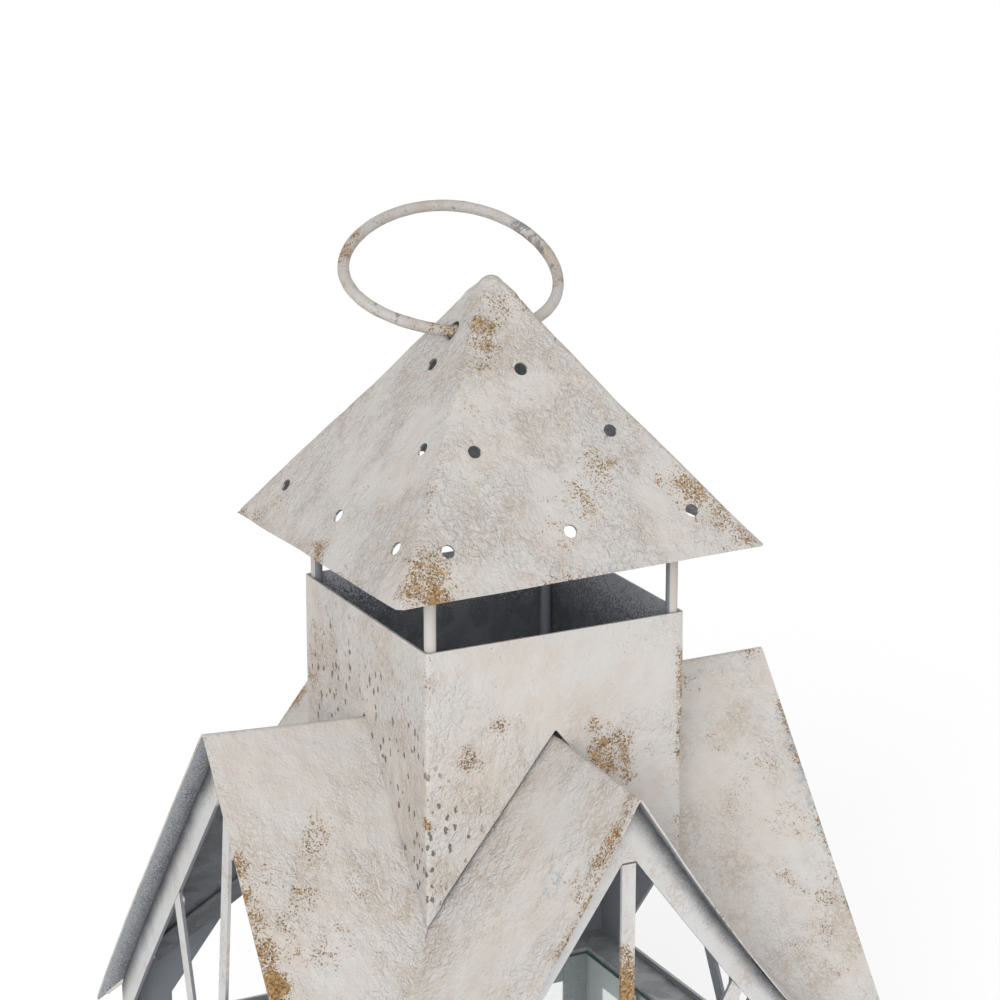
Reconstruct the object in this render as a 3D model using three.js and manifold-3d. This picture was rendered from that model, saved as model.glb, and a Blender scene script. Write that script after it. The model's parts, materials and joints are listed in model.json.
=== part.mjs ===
// Candle lantern: a square glazed body under a cross-gabled sheet roof, with a square chimney,
// a pierced pyramid cap on four rods and a carrying ring. Millimetres, +Z up, -Y is the door side.
// The origin is on the surface the feet stand on, under the middle of the chimney.
import * as THREE from 'three';
import { mergeVertices } from 'three/addons/utils/BufferGeometryUtils.js';
import Module from 'manifold-3d';

const wasm = await Module();
wasm.setup();

// ---- Driving dimensions -------------------------------------------------------------------------
const bodyHalf = 106; // middle to the outside of the corner posts
const eaveHeight = 290; // floor to the top of the eave plate
const overhang = 25.4; // corner posts to the ends of the ridges
const pitch = THREE.MathUtils.degToRad(51.8); // roof slope from level
const chimneyHalf = 58;
const chimneyRise = 43.3; // ridge line to the chimney's open top
const capOverhang = 21.8; // chimney wall to the cap's rim
const capLift = 27.5; // chimney top to the cap's rim
const capRise = 107.8; // cap's rim to the point where its four faces would meet

// Roof and eaves
const roofSheet = 1; // thickness of the roof's sheet metal
const ridgeFold = 1; // inside radius of the fold along a ridge
const cornerLift = 13; // eave plate to the roof's planes at its outer corners
const cornerTrim = 1; // what is cut off the roof's pointed corners
const roofLap = 6; // how far the roof runs in under the chimney's wall
const frameSetBack = 9; // ridge's end to the face of the gable frame
const frameSheet = 1.5;
const rafterWidths = { front: 14.8, right: 27, back: 23, left: 13.5 };
const tieHeight = 2.5; // strip along the foot of a gable frame
const barWidth = 6.8; // king posts and struts
const strutHeads = { front: 52.5, right: 46.2, back: 48.4, left: 53.2 }; // middle to a strut's head
const strutFeet = { front: 5.8, right: 6.9, back: 9.1, left: 30.1 }; // middle to a strut's foot
const kingHeads = { front: 0, right: 0, back: 0, left: 3.2 }; // middle to a king post's head
const kingFeet = { front: 0, right: 0, back: 0, left: -14.7 }; // the left one leans to the back
const eavePlateSheet = 1.5;
const eavePlateInset = 1; // corner posts' outside to the eave plate's inner edge

// Chimney, cap and carrying ring
const chimneySheet = 1;
const frontNotchGap = 2; // chimney's front notch above the ridge, where it shows as a slit
const notchGap = 0.8; // the other three notches
const rodRadius = 2.5;
const rodDepth = 60; // how far a cap rod reaches down inside the chimney
const capSheet = 1;
const capTipRadius = 6;
const capTipSpread = THREE.MathUtils.degToRad(56); // half angle of the cone that rounds the hips at the tip
const pierceRadius = 2.75;
const pierceMargin = 15; // hip edge to the outer holes, measured level
const closedHole = { side: 'left', holes: 2, i: 0 }; // never punched: on the left, the back one of two
const lowHolesRise = 16; // cap's rim to the row of three holes
const midHolesDrop = 60.8; // apex down to the row of two
const topHoleDrop = 35.4; // apex down to the single hole
const ringWire = 2.4; // radius of the carrying ring's wire
const ringDrop = 23.2; // apex down to the two holes that hold the ring
const ringHalfWidth = 46.7;
const ringHalfHeight = 36;
const ringSkew = 0.12; // the hand-bent oval stands this share higher on its right
const ringDrift = 0.13; // and drifts this share of its height to its left
const ringTail = 8; // how far each end of the wire runs on inside the cap
const ringLean = THREE.MathUtils.degToRad(56.6); // backwards from upright
const ringClearance = 1;

// Body, door and glass
const postFlange = 14;
const postSheet = 1.2;
const railHeight = 13;
const glassThickness = 2;
const doorRail = 14; // width of the door frame's four sides
const doorSheet = 1.5;
const doorGap = 1; // round the door
const doorGlassLap = 2.6; // how far the door's glass reaches behind its frame
const pinRadius = 1.2;
const knuckleRadius = 2.6;
const knuckleLength = 9;
const pinHead = 1.2; // height
const pinClearance = 0.3;
const hingeInset = 44; // door's corner to the middle of a hinge
const leafReach = 9; // hinge axis to the far edge of a leaf
const leafSheet = 0.8;
const knobRadius = 5;
const knobShaft = 1.6; // radius
const tongueLength = 17;
const tongueWidth = 5.5;
const tongueSheet = 1.2;
const knobLength = 11.6;

// Base and candle
const plinthLip = 8; // plinth beyond the corner posts
const plinthHeight = 24;
const plinthSheet = 1.2;
const footHeight = 8;
const footRadius = 9;
const footStem = 6.5; // radius of the part of a foot that is inside the plinth
const footRound = 1.5;
const dishRadius = 52;
const dishRim = 8;
const dishSheet = 1;
const dishFlare = 1.5; // how far the rim leans out
const candleRadius = 37.5;
const candleHeight = 120;
const candleEdge = 2; // bevel
const candleDip = 4; // depth of the melted hollow round the wick
const candleDipRadius = 20.6;
const wickRadius = 1.1;
const wickDepth = 6;
const wickStand = 9; // wick above the bottom of the hollow

const gap = 0.3; // between pieces that touch
const outside = 400; // beyond every outline, for cutting tools
const roundSides = 32;

// ---- Derived levels and half widths -------------------------------------------------------------
const tan = Math.tan(pitch);
const cos = Math.cos(pitch);
const reach = bodyHalf + overhang;
const eaveHalf = reach - cornerTrim;
const ridge = eaveHeight + cornerLift + reach * tan;
const foldCentre = ridge - (ridgeFold + roofSheet) / cos;
const chimneyTop = ridge + chimneyRise;
const capHalf = chimneyHalf + capOverhang;
const capRim = chimneyTop + capLift;
const capApex = capRim + capRise;
const capLean = Math.atan(capHalf / capRise); // a face's middle line from upright
const frameHalf = reach - frameSetBack;
const rodCentre = chimneyHalf - chimneySheet - gap - rodRadius;
const ringAxis = capApex - ringDrop;
const ringHoleX = (capHalf * ringDrop) / capRise;
const plinthTop = footHeight + plinthHeight;
const floorLevel = plinthTop + gap;
const postTop = eaveHeight - eavePlateSheet - gap;
const openingHalf = bodyHalf - postFlange; // middle to a corner post's edge
const glassOuter = bodyHalf - postSheet - gap;
const doorHalf = openingHalf - doorGap;
const doorBottom = floorLevel + railHeight + doorGap;
const doorTop = postTop - railHeight - doorGap;
const hingeX = openingHalf - doorGap / 2;
const hingeY = -(bodyHalf + gap + knuckleRadius);
const latchHeight = (doorBottom + doorTop) / 2;
const latchX = -(doorHalf - doorRail / 2);

// ---- Finishes -----------------------------------------------------------------------------------
const paint = { color: 0xd5cfc8, roughness: 0.62, metalness: 0 };
const paintedWire = { color: 0xc9c2ba, roughness: 0.55, metalness: 0 };
const zinc = { color: 0x8b8f92, roughness: 0.45, metalness: 0.8 };
const brass = { color: 0xa9834a, roughness: 0.4, metalness: 0.9 };
const clearGlass = { color: 0xe4efe9, roughness: 0.05, metalness: 0, transparent: true, opacity: 0.3 };
const wax = { color: 0xefe6cf, roughness: 0.5, metalness: 0 };
const cotton = { color: 0x4a4038, roughness: 0.9, metalness: 0 };

// ---- Solids -------------------------------------------------------------------------------------
const lantern = new THREE.Group();

function solid(geometry) {
  const plain = geometry.clone();
  plain.deleteAttribute('normal');
  plain.deleteAttribute('uv');
  const welded = mergeVertices(plain, 1e-5);
  return new wasm.Manifold(
    new wasm.Mesh({
      numProp: 3,
      vertProperties: new Float32Array(welded.attributes.position.array),
      triVerts: new Uint32Array(welded.index.array),
    }),
  );
}

function geometryOf(manifold) {
  const mesh = manifold.getMesh();
  const geometry = new THREE.BufferGeometry();
  geometry.setAttribute('position', new THREE.BufferAttribute(new Float32Array(mesh.vertProperties), 3));
  geometry.setIndex(new THREE.BufferAttribute(new Uint32Array(mesh.triVerts), 1));
  geometry.computeVertexNormals();
  return geometry;
}

function add(name, geometry, finish, parent = lantern) {
  const mesh = new THREE.Mesh(geometry, new THREE.MeshStandardMaterial(finish));
  mesh.name = name;
  parent.add(mesh);
  return mesh;
}

function box(x0, x1, y0, y1, z0, z1) {
  const geometry = new THREE.BoxGeometry(x1 - x0, y1 - y0, z1 - z0);
  return geometry.translate((x0 + x1) / 2, (y0 + y1) / 2, (z0 + z1) / 2);
}

// A square tube's wall, or a square ring plate, centred on the Z axis.
function squareRing(outerHalf, innerHalf, z0, z1) {
  const outer = solid(box(-outerHalf, outerHalf, -outerHalf, outerHalf, z0, z1));
  return outer.subtract(solid(box(-innerHalf, innerHalf, -innerHalf, innerHalf, z0 - 1, z1 + 1)));
}

// A cylinder from z0 to z1.
function post(radius, z0, z1, sides = roundSides) {
  return new THREE.CylinderGeometry(radius, radius, z1 - z0, sides)
    .rotateX(Math.PI / 2)
    .translate(0, 0, (z0 + z1) / 2);
}

function turned(profile, sides = roundSides) {
  const points = profile.map(([r, z]) => new THREE.Vector2(r, z));
  return new THREE.LatheGeometry(points, sides).rotateX(Math.PI / 2);
}

// An outline drawn across (Y) and up (Z), extruded along X from x0 to x1.
function alongX(outline, x0, x1) {
  return new THREE.ExtrudeGeometry(outline, { depth: x1 - x0, bevelEnabled: false, curveSegments: 6 })
    .rotateX(Math.PI / 2)
    .rotateZ(Math.PI / 2)
    .translate(x0, 0, 0);
}

// ---- Roof ---------------------------------------------------------------------------------------
// Everything on a side is drawn pointing along +X and then turned by its quarters.
const quarters = { right: 0, back: 1, left: 2, front: 3 };

// The quarter of the plan between the two valleys, a hair inside them so that neighbours clear.
function quarterPlan() {
  const shy = (gap * Math.SQRT2) / 2;
  const shape = new THREE.Shape([
    new THREE.Vector2(shy, 0),
    new THREE.Vector2(outside, shy - outside),
    new THREE.Vector2(outside, outside - shy),
  ]);
  return new THREE.ExtrudeGeometry(shape, { depth: 2 * outside, bevelEnabled: false });
}

// The two slopes as one folded strip, its outer fold rounded about the inner one.
function foldedSlopes() {
  const outer = ridgeFold + roofSheet;
  const turn = Math.PI / 2 - pitch;
  const foot = (r) => [outside * cos + r * Math.sin(pitch), foldCentre - outside * Math.sin(pitch) + r * cos];
  const shape = new THREE.Shape();
  shape.moveTo(...foot(outer));
  shape.absarc(0, foldCentre, outer, turn, Math.PI - turn, false);
  shape.lineTo(-foot(outer)[0], foot(outer)[1]);
  shape.lineTo(-foot(ridgeFold)[0], foot(ridgeFold)[1]);
  shape.absarc(0, foldCentre, ridgeFold, Math.PI - turn, turn, true);
  shape.lineTo(...foot(ridgeFold));
  return shape;
}

function gableRoof() {
  const inner = chimneyHalf - chimneySheet - roofLap;
  const strip = solid(alongX(foldedSlopes(), inner, reach));
  const sides = solid(box(0, outside, -eaveHalf, eaveHalf, 0, 2 * outside));
  return strip.intersect(solid(quarterPlan())).intersect(sides);
}

// Height of the space under the slopes, less a drop measured square to the slope.
function underSlopes(drop) {
  return ridge - (roofSheet + gap + drop) / cos;
}

// A gable-shaped block from the level z0 up to two slopes that meet at the peak.
function gableBlock(peak, half, z0, x0, x1) {
  const shoulder = peak - half * tan;
  const corners = [[-half, z0], [half, z0], [half, shoulder], [0, peak], [-half, shoulder]];
  return alongX(new THREE.Shape(corners.map((p) => new THREE.Vector2(...p))), x0, x1);
}

const frameBack = frameHalf - frameSheet;
const frameFoot = eaveHeight + gap;

// The opening between the rafters and the foot strip. Its top is flat and as wide as the king post.
function frameWindow(side, clearance, x0, x1) {
  const half = frameHalf - rafterWidths[side] - clearance;
  const peak = underSlopes(rafterWidths[side] + clearance);
  const sill = frameFoot + tieHeight + clearance;
  const slopes = solid(gableBlock(peak, outside, sill - outside * tan * 2, x0, x1));
  const top = peak - (barWidth / 2 + clearance) * tan;
  return slopes.intersect(solid(box(x0, x1, -half, half, sill, top)));
}

function gableFrame(side) {
  const plate = solid(gableBlock(underSlopes(0), frameHalf, frameFoot, frameBack, frameHalf));
  const open = frameWindow(side, 0, frameBack - 1, frameHalf + 1);
  const underFold = solid(box(0, outside, -outside, outside, 0, foldCentre + ridgeFold - gap));
  return plate.subtract(open).intersect(solid(quarterPlan())).intersect(underFold);
}

// A straight flat bar from the rafters down to the foot of the frame, trimmed to fit between them.
function frameBar(side, head, foot) {
  const run = head.clone().sub(foot).normalize();
  const across = new THREE.Vector2(-run.y, run.x).multiplyScalar(barWidth / 2);
  const from = foot.clone().addScaledVector(run, -3 * barWidth);
  const to = head.clone().addScaledVector(run, 3 * barWidth);
  const corner = (end, turn) => end.clone().addScaledVector(across, turn);
  const outline = new THREE.Shape([corner(from, -1), corner(to, -1), corner(to, 1), corner(from, 1)]);
  return solid(alongX(outline, frameBack, frameHalf)).intersect(frameWindow(side, gap, frameBack, frameHalf));
}

function kingPost(side) {
  const head = new THREE.Vector2(kingHeads[side], underSlopes(rafterWidths[side]));
  return frameBar(side, head, new THREE.Vector2(kingFeet[side], frameFoot + tieHeight));
}

// A strut from the rafter down and in to the foot of the frame, on the +Y or -Y side of its gable.
function strut(side, turn) {
  const across = strutHeads[side];
  const head = new THREE.Vector2(turn * across, underSlopes(rafterWidths[side]) - across * tan);
  const bar = frameBar(side, head, new THREE.Vector2(turn * strutFeet[side], frameFoot + tieHeight));
  const clearOfPost = box(frameBack - 1, frameHalf + 1, -barWidth / 2 - gap, barWidth / 2 + gap, 0, ridge);
  return bar.subtract(solid(clearOfPost));
}

for (const [side, quarter] of Object.entries(quarters)) {
  const turn = new THREE.Group();
  turn.rotation.z = (quarter * Math.PI) / 2;
  lantern.add(turn);
  add(`gable_roof_${side}`, geometryOf(gableRoof()), paint, turn);
  add(`gable_frame_${side}`, geometryOf(gableFrame(side)), paint, turn);
  add(`king_post_${side}`, geometryOf(kingPost(side)), paint, turn);
  add(`strut_${side}_1`, geometryOf(strut(side, 1)), paint, turn);
  add(`strut_${side}_2`, geometryOf(strut(side, -1)), paint, turn);
}

const eavePlate = squareRing(frameHalf, bodyHalf - eavePlateInset, eaveHeight - eavePlateSheet, eaveHeight);
add('eave_plate', geometryOf(eavePlate), zinc);

// ---- Chimney and cap ----------------------------------------------------------------------------
function chimney() {
  const legs = ridge - chimneyHalf * tan;
  let wall = squareRing(chimneyHalf, chimneyHalf - chimneySheet, legs, chimneyTop);
  for (const [side, quarter] of Object.entries(quarters)) {
    const lift = side === 'front' ? frontNotchGap : notchGap;
    const notch = gableBlock(ridge + lift, outside, legs - 2 * outside * tan, 0, outside);
    notch.rotateZ((quarter * Math.PI) / 2);
    wall = wall.subtract(solid(notch));
  }
  return wall;
}
add('chimney', geometryOf(chimney()), paint);

// A four-sided pyramid whose faces meet at the apex, its base square to X and Y.
function pyramid(half, base, apex) {
  return new THREE.ConeGeometry(half * Math.SQRT2, apex - base, 4, 1)
    .rotateX(Math.PI / 2)
    .rotateZ(Math.PI / 4)
    .translate(0, 0, (base + apex) / 2);
}

// A ball on a wide cone: what is left inside it has a rounded tip.
function tipRounder(radius) {
  const centre = capApex - capTipRadius / Math.sin(capLean);
  const steps = 8;
  const length = 2 * outside;
  const tangent = Math.PI / 2 - capTipSpread;
  const touch = [radius * Math.cos(tangent), centre + radius * Math.sin(tangent)];
  const base = [touch[0] + length * Math.sin(capTipSpread), touch[1] - length * Math.cos(capTipSpread)];
  const profile = [[0, base[1]], base];
  for (let i = 0; i < steps; i += 1) {
    const angle = tangent + ((Math.PI / 2 - tangent) * i) / steps;
    profile.push([radius * Math.cos(angle), centre + radius * Math.sin(angle)]);
  }
  profile.push([0, centre + radius]);
  return turned(profile);
}

function ventCap() {
  const drop = capSheet / Math.sin(capLean);
  const innerHalf = (half) => half - (half * drop) / capRise;
  const below = 5; // the inner pyramid runs on past the rim
  const slope = capHalf / capRise;
  const outer = solid(pyramid(capHalf, capRim, capApex)).intersect(solid(tipRounder(capTipRadius)));
  const innerShape = pyramid(innerHalf(capHalf) + below * slope, capRim - below, capApex - drop);
  const inner = solid(innerShape).intersect(solid(tipRounder(capTipRadius - capSheet)));
  let cap = outer.subtract(inner);
  const rows = [
    { up: lowHolesRise, holes: 3 },
    { up: capRise - midHolesDrop, holes: 2 },
    { up: capRise - topHoleDrop, holes: 1 },
  ];
  for (const [side, quarter] of Object.entries(quarters)) {
    for (const { up, holes } of rows) {
      const half = (capHalf * (capRise - up)) / capRise;
      for (let i = 0; i < holes; i += 1) {
        if (side === closedHole.side && holes === closedHole.holes && i === closedHole.i) continue;
        const across = holes === 1 ? 0 : (half - pierceMargin) * ((2 * i) / (holes - 1) - 1);
        const punch = post(pierceRadius, -6, 6, 20)
          .rotateY(Math.PI / 2 - capLean)
          .translate(half, across, capRim + up)
          .rotateZ((quarter * Math.PI) / 2);
        cap = cap.subtract(solid(punch));
      }
    }
  }
  const ringHole = post(ringWire + ringClearance, -outside, outside, 24).rotateY(Math.PI / 2);
  return cap.subtract(solid(ringHole.translate(0, 0, ringAxis)));
}
add('vent_cap', geometryOf(ventCap()), paint);

for (const [i, [sx, sy]] of [[1, 1], [-1, 1], [-1, -1], [1, -1]].entries()) {
  const outer = rodCentre + rodRadius;
  const top = capApex - (capRise * outer) / capHalf - (capSheet + gap) / Math.sin(capLean);
  const rod = post(rodRadius, chimneyTop - rodDepth, top, 16);
  add(`cap_rod_${i + 1}`, rod, paintedWire).position.set(sx * rodCentre, sy * rodCentre, 0);
}

// The ring's centre line, drawn flat: x along the hinge axis, z away from it. It is an oval whose two
// ends turn in through the cap's holes.
function ringPath() {
  const steps = 40;
  const reachIn = Math.asin(ringHoleX / ringHalfWidth);
  const centre = ringHalfHeight * Math.cos(reachIn);
  const points = [new THREE.Vector3(ringTail - ringHoleX, 0, 0)];
  for (let i = 0; i <= steps; i += 1) {
    const angle = -Math.PI / 2 - reachIn - (i / steps) * 2 * (Math.PI - reachIn);
    const height = (centre + ringHalfHeight * Math.sin(angle)) * (1 + ringSkew * Math.cos(angle));
    points.push(new THREE.Vector3(ringHalfWidth * Math.cos(angle) - ringDrift * height, 0, height));
  }
  points.push(new THREE.Vector3(ringHoleX - ringTail, 0, 0));
  return new THREE.CatmullRomCurve3(points, false, 'centripetal');
}

function carryRing() {
  const section = new THREE.Shape().absarc(0, 0, ringWire, 0, 2 * Math.PI, false);
  return new THREE.ExtrudeGeometry(section, { steps: 72, curveSegments: 6, extrudePath: ringPath() });
}
const ring = add('carry_ring', carryRing(), paintedWire);
ring.rotation.x = -ringLean;
ring.position.z = ringAxis;

// ---- Body ---------------------------------------------------------------------------------------
function cornerPost() {
  const outer = solid(box(openingHalf, bodyHalf, openingHalf, bodyHalf, floorLevel, postTop));
  const inner = bodyHalf - postSheet;
  return outer.subtract(solid(box(0, inner, 0, inner, 0, outside)));
}

for (const [i, quarter] of [0, 1, 2, 3].entries()) {
  add(`corner_post_${i + 1}`, geometryOf(cornerPost()), paint).rotation.z = (quarter * Math.PI) / 2;
}

for (const [side, quarter] of Object.entries(quarters)) {
  const turn = (mesh) => {
    mesh.rotation.z = (quarter * Math.PI) / 2;
  };
  const half = openingHalf - gap;
  const inner = bodyHalf - postSheet;
  const rail = (z0) => box(inner, bodyHalf, -half, half, z0, z0 + railHeight);
  turn(add(`top_rail_${side}`, rail(postTop - railHeight), paint));
  turn(add(`bottom_rail_${side}`, rail(floorLevel), paint));
  if (side === 'front') continue;
  // The back pane runs the full width behind the posts; the side panes stop short of it.
  const paneHalf = side === 'back' ? glassOuter : glassOuter - glassThickness - gap;
  const pane = box(glassOuter - glassThickness, glassOuter, -paneHalf, paneHalf, floorLevel, postTop);
  turn(add(`glass_${side}`, pane, clearGlass));
}

// ---- Door ---------------------------------------------------------------------------------------
const hingeLevels = { lower: doorBottom + hingeInset, upper: doorTop - hingeInset };

function knuckle(z0, z1) {
  return solid(post(knuckleRadius, z0, z1, 24).translate(hingeX, hingeY, 0));
}

function pinBore() {
  return solid(post(pinRadius + pinClearance, 0, 2 * outside, 24).translate(hingeX, hingeY, 0));
}

// A leaf is a flat strip on the face of the post or the door; side +1 lies towards the post.
function leaf(side, z0, z1) {
  const x = [hingeX, hingeX + side * leafReach].sort((a, b) => a - b);
  const face = -(bodyHalf + gap);
  return solid(box(x[0], x[1], face - leafSheet, face, z0, z1));
}

const doorOpening = { half: doorHalf - doorRail, z0: doorBottom + doorRail, z1: doorTop - doorRail };

// The door's knuckle, its leaf and the lap that joins the leaf to the frame.
function doorHinge(level) {
  const z0 = level - knuckleLength / 2;
  const z1 = level + knuckleLength / 2;
  const inner = hingeX - knuckleRadius;
  const lap = box(hingeX - leafReach, inner, -bodyHalf - gap - leafSheet, -bodyHalf + doorSheet / 2, z0, z1);
  return leaf(-1, z0, z1).add(solid(lap)).add(knuckle(z0, z1));
}

function doorFrame() {
  const face = -bodyHalf;
  const { half, z0, z1 } = doorOpening;
  let frame = solid(box(-doorHalf, doorHalf, face, face + doorSheet, doorBottom, doorTop));
  frame = frame.subtract(solid(box(-half, half, face - 1, face + doorSheet + 1, z0, z1)));
  for (const level of Object.values(hingeLevels)) frame = frame.add(doorHinge(level));
  const shaftHole = post(knobShaft + pinClearance, -outside, outside, 24).rotateX(Math.PI / 2);
  return frame.subtract(pinBore()).subtract(solid(shaftHole.translate(latchX, 0, latchHeight)));
}
add('door_frame', geometryOf(doorFrame()), paint);

function doorGlass() {
  const half = doorOpening.half + doorGlassLap;
  const outer = -(bodyHalf - doorSheet - gap);
  const { z0, z1 } = doorOpening;
  return box(-half, half, outer, outer + glassThickness, z0 - doorGlassLap, z1 + doorGlassLap);
}
add('door_glass', doorGlass(), clearGlass);

// The fixed half of a hinge: one leaf on the corner post with a knuckle above and below the door's.
function postHinge(level) {
  const inner = knuckleLength / 2 + gap;
  const outer = inner + knuckleLength;
  const clear = hingeX + knuckleRadius + gap;
  const doorKnuckleSpace = solid(box(0, clear, -outside, outside, level - inner, level + inner));
  return leaf(1, level - outer, level + outer)
    .subtract(doorKnuckleSpace)
    .add(knuckle(level - outer, level - inner))
    .add(knuckle(level + inner, level + outer))
    .subtract(pinBore());
}

function hingePin(level) {
  const half = knuckleLength * 1.5 + gap;
  const headFoot = level + half + gap;
  const headRadius = (pinRadius + knuckleRadius) / 2;
  const profile = [
    [0, level - half - 1],
    [pinRadius, level - half - 1],
    [pinRadius, headFoot],
    [headRadius, headFoot],
    [headRadius, headFoot + pinHead],
    [0, headFoot + pinHead],
  ];
  return turned(profile, 20).translate(hingeX, hingeY, 0);
}

for (const [name, level] of Object.entries(hingeLevels)) {
  add(`hinge_leaf_${name}`, geometryOf(postHinge(level)), brass);
  add(`hinge_pin_${name}`, hingePin(level), brass);
}

// Knob and shaft, turned about Y; the tongue stands upright inside the door when it is free.
function latchKnob() {
  const back = doorSheet + gap + tongueSheet + gap;
  const profile = [
    [0, -back - 1],
    [knobShaft, -back - 1],
    [knobShaft, gap],
    [knobRadius * 0.7, gap],
    [knobRadius * 0.5, knobLength * 0.35],
    [knobRadius * 0.9, knobLength * 0.56],
    [knobRadius, knobLength * 0.73],
    [knobRadius * 0.8, knobLength * 0.9],
    [knobRadius * 0.35, knobLength * 0.99],
    [0, knobLength],
  ];
  return turned(profile, 24).rotateX(Math.PI / 2);
}
add('latch_knob', latchKnob(), brass).position.set(latchX, -bodyHalf, latchHeight);

function latchTongue() {
  const y = doorSheet + gap;
  const half = tongueWidth / 2;
  const bar = solid(box(-half, half, y, y + tongueSheet, -half, tongueLength));
  const hole = post(knobShaft + gap, -10, 10, 20).rotateX(Math.PI / 2);
  return bar.subtract(solid(hole));
}
add('latch_tongue', geometryOf(latchTongue()), brass).position.set(latchX, -bodyHalf, latchHeight);

// ---- Base, feet and candle ----------------------------------------------------------------------
const plinthHalf = bodyHalf + plinthLip;

function plinth() {
  const inner = plinthHalf - plinthSheet;
  const block = solid(box(-plinthHalf, plinthHalf, -plinthHalf, plinthHalf, footHeight, plinthTop));
  return block.subtract(solid(box(-inner, inner, -inner, inner, 0, plinthTop - plinthSheet)));
}
add('plinth', geometryOf(plinth()), paint);

function foot() {
  return turned([
    [0, 0],
    [footRadius - footRound, 0],
    [footRadius, footRound],
    [footRadius, footHeight - gap],
    [footStem, footHeight - gap + 1],
    [footStem, plinthTop - plinthSheet - gap],
    [0, plinthTop - plinthSheet - gap],
  ]);
}
for (const [i, [sx, sy]] of [[1, 1], [-1, 1], [-1, -1], [1, -1]].entries()) {
  const centre = plinthHalf - plinthSheet - gap - footRadius;
  add(`foot_${i + 1}`, foot(), zinc).position.set(sx * centre, sy * centre, 0);
}

function dish() {
  return turned([
    [0, 0],
    [dishRadius - dishFlare, 0],
    [dishRadius, dishRim],
    [dishRadius - dishSheet, dishRim],
    [dishRadius - dishFlare - dishSheet, dishSheet],
    [0, dishSheet],
  ], 48);
}
add('candle_dish', dish(), zinc).position.z = floorLevel;

const candleFoot = floorLevel + dishSheet + gap;

function candle() {
  const well = candleHeight - candleDip;
  return turned([
    [0, 0],
    [candleRadius - candleEdge, 0],
    [candleRadius, candleEdge],
    [candleRadius, candleHeight - candleEdge],
    [candleRadius - candleEdge, candleHeight],
    [candleDipRadius, well + candleDip / 3],
    [candleDipRadius / 2, well],
    [wickRadius + gap, well],
    [wickRadius + gap, well - wickDepth],
    [0, well - wickDepth],
  ], 48);
}
add('candle', candle(), wax).position.z = candleFoot;

const wickFoot = candleFoot + candleHeight - candleDip - wickDepth + gap;
add('wick', post(wickRadius, wickFoot, wickFoot + wickDepth + wickStand, 10), cotton);

export default lantern;
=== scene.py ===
# %% [markdown]
# # A candle lantern of painted sheet metal
# The lantern is a glazed box under a cross-gabled roof, with a chimney, a pierced cap and a carrying
# ring. Its solids come ready made, in metres, with +Z up. This lesson dresses them: it copies the
# pieces whose look depends on their edges, softens and dents the copies, adds the small things that
# hold a lantern together, and gives every piece a finish made of nodes.

# %% Load the lantern's solids
import json
import math
import random

import bmesh
import bpy
from mathutils import Matrix, Vector, noise


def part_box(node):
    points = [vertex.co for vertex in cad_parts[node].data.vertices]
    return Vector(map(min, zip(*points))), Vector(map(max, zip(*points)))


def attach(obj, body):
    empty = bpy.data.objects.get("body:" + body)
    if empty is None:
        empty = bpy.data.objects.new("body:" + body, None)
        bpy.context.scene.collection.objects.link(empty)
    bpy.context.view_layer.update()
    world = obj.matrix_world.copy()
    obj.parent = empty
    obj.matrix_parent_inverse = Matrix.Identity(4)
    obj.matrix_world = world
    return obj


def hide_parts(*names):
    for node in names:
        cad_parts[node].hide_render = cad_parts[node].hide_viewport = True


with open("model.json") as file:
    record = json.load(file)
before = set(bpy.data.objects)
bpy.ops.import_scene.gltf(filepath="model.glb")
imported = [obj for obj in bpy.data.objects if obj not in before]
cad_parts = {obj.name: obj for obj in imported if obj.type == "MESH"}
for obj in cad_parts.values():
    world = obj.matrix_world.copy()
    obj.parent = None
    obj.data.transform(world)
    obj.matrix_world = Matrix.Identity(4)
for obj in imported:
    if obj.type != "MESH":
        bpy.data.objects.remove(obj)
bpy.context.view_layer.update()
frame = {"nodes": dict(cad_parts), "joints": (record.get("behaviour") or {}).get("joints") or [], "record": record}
solids = frame["nodes"]
MM = 0.001
SIDES = {"right": 0, "back": 1, "left": 2, "front": 3}

# %% [markdown]
# ## Measures
# Levels and widths that a new piece needs are read from the boxes round the solids. The roof's slope
# and its ridge aren't corners of a box, so they are given here as the solids were built.

# %% Read the levels and widths
cap_low, cap_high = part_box("vent_cap")
chimney_low, chimney_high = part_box("chimney")
roof_low, roof_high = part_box("gable_roof_right")
pane_low, pane_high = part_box("glass_right")
candle_low, candle_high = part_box("candle")
RIDGE = 469.98 * MM
PITCH = math.radians(51.8)
SLOPE = math.tan(PITCH)
CAP_HALF = cap_high.x
RING_AXIS = frame["joints"][0]["pos_m"][2]
print("ridge", RIDGE, "cap", CAP_HALF, "ring axis", RING_AXIS)

# %% [markdown]
# ## Camera, floor and light
# The view is long and slightly from above, with the lantern's front turned to the right, so that the
# cap, the chimney and the roof fill the picture. A plain pale floor and an even white sky stand for a
# studio. One broad, soft window low at the front left makes the left faces the brighter ones, and lets
# the dents in the sheet show.

# %% Place the camera
AZIMUTH, ELEVATION = math.radians(-27.175), math.radians(16.426)
DISTANCE = 1.2838
aim = Vector((3.31 * MM, -1.7 * MM, chimney_high.z + 39.53 * MM))
away = Vector((math.sin(AZIMUTH) * math.cos(ELEVATION),
               -math.cos(AZIMUTH) * math.cos(ELEVATION),
               math.sin(ELEVATION)))
camera = bpy.data.objects.new("camera", bpy.data.cameras.new("camera"))
camera.location = aim + away * DISTANCE
camera.rotation_euler = away.to_track_quat("Z", "Y").to_euler()
camera.data.sensor_width = 36
camera.data.lens = 113.306
camera.data.clip_end = 100
bpy.context.scene.collection.objects.link(camera)
bpy.context.scene.camera = camera
print("camera", [round(v, 4) for v in camera.location])

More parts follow.
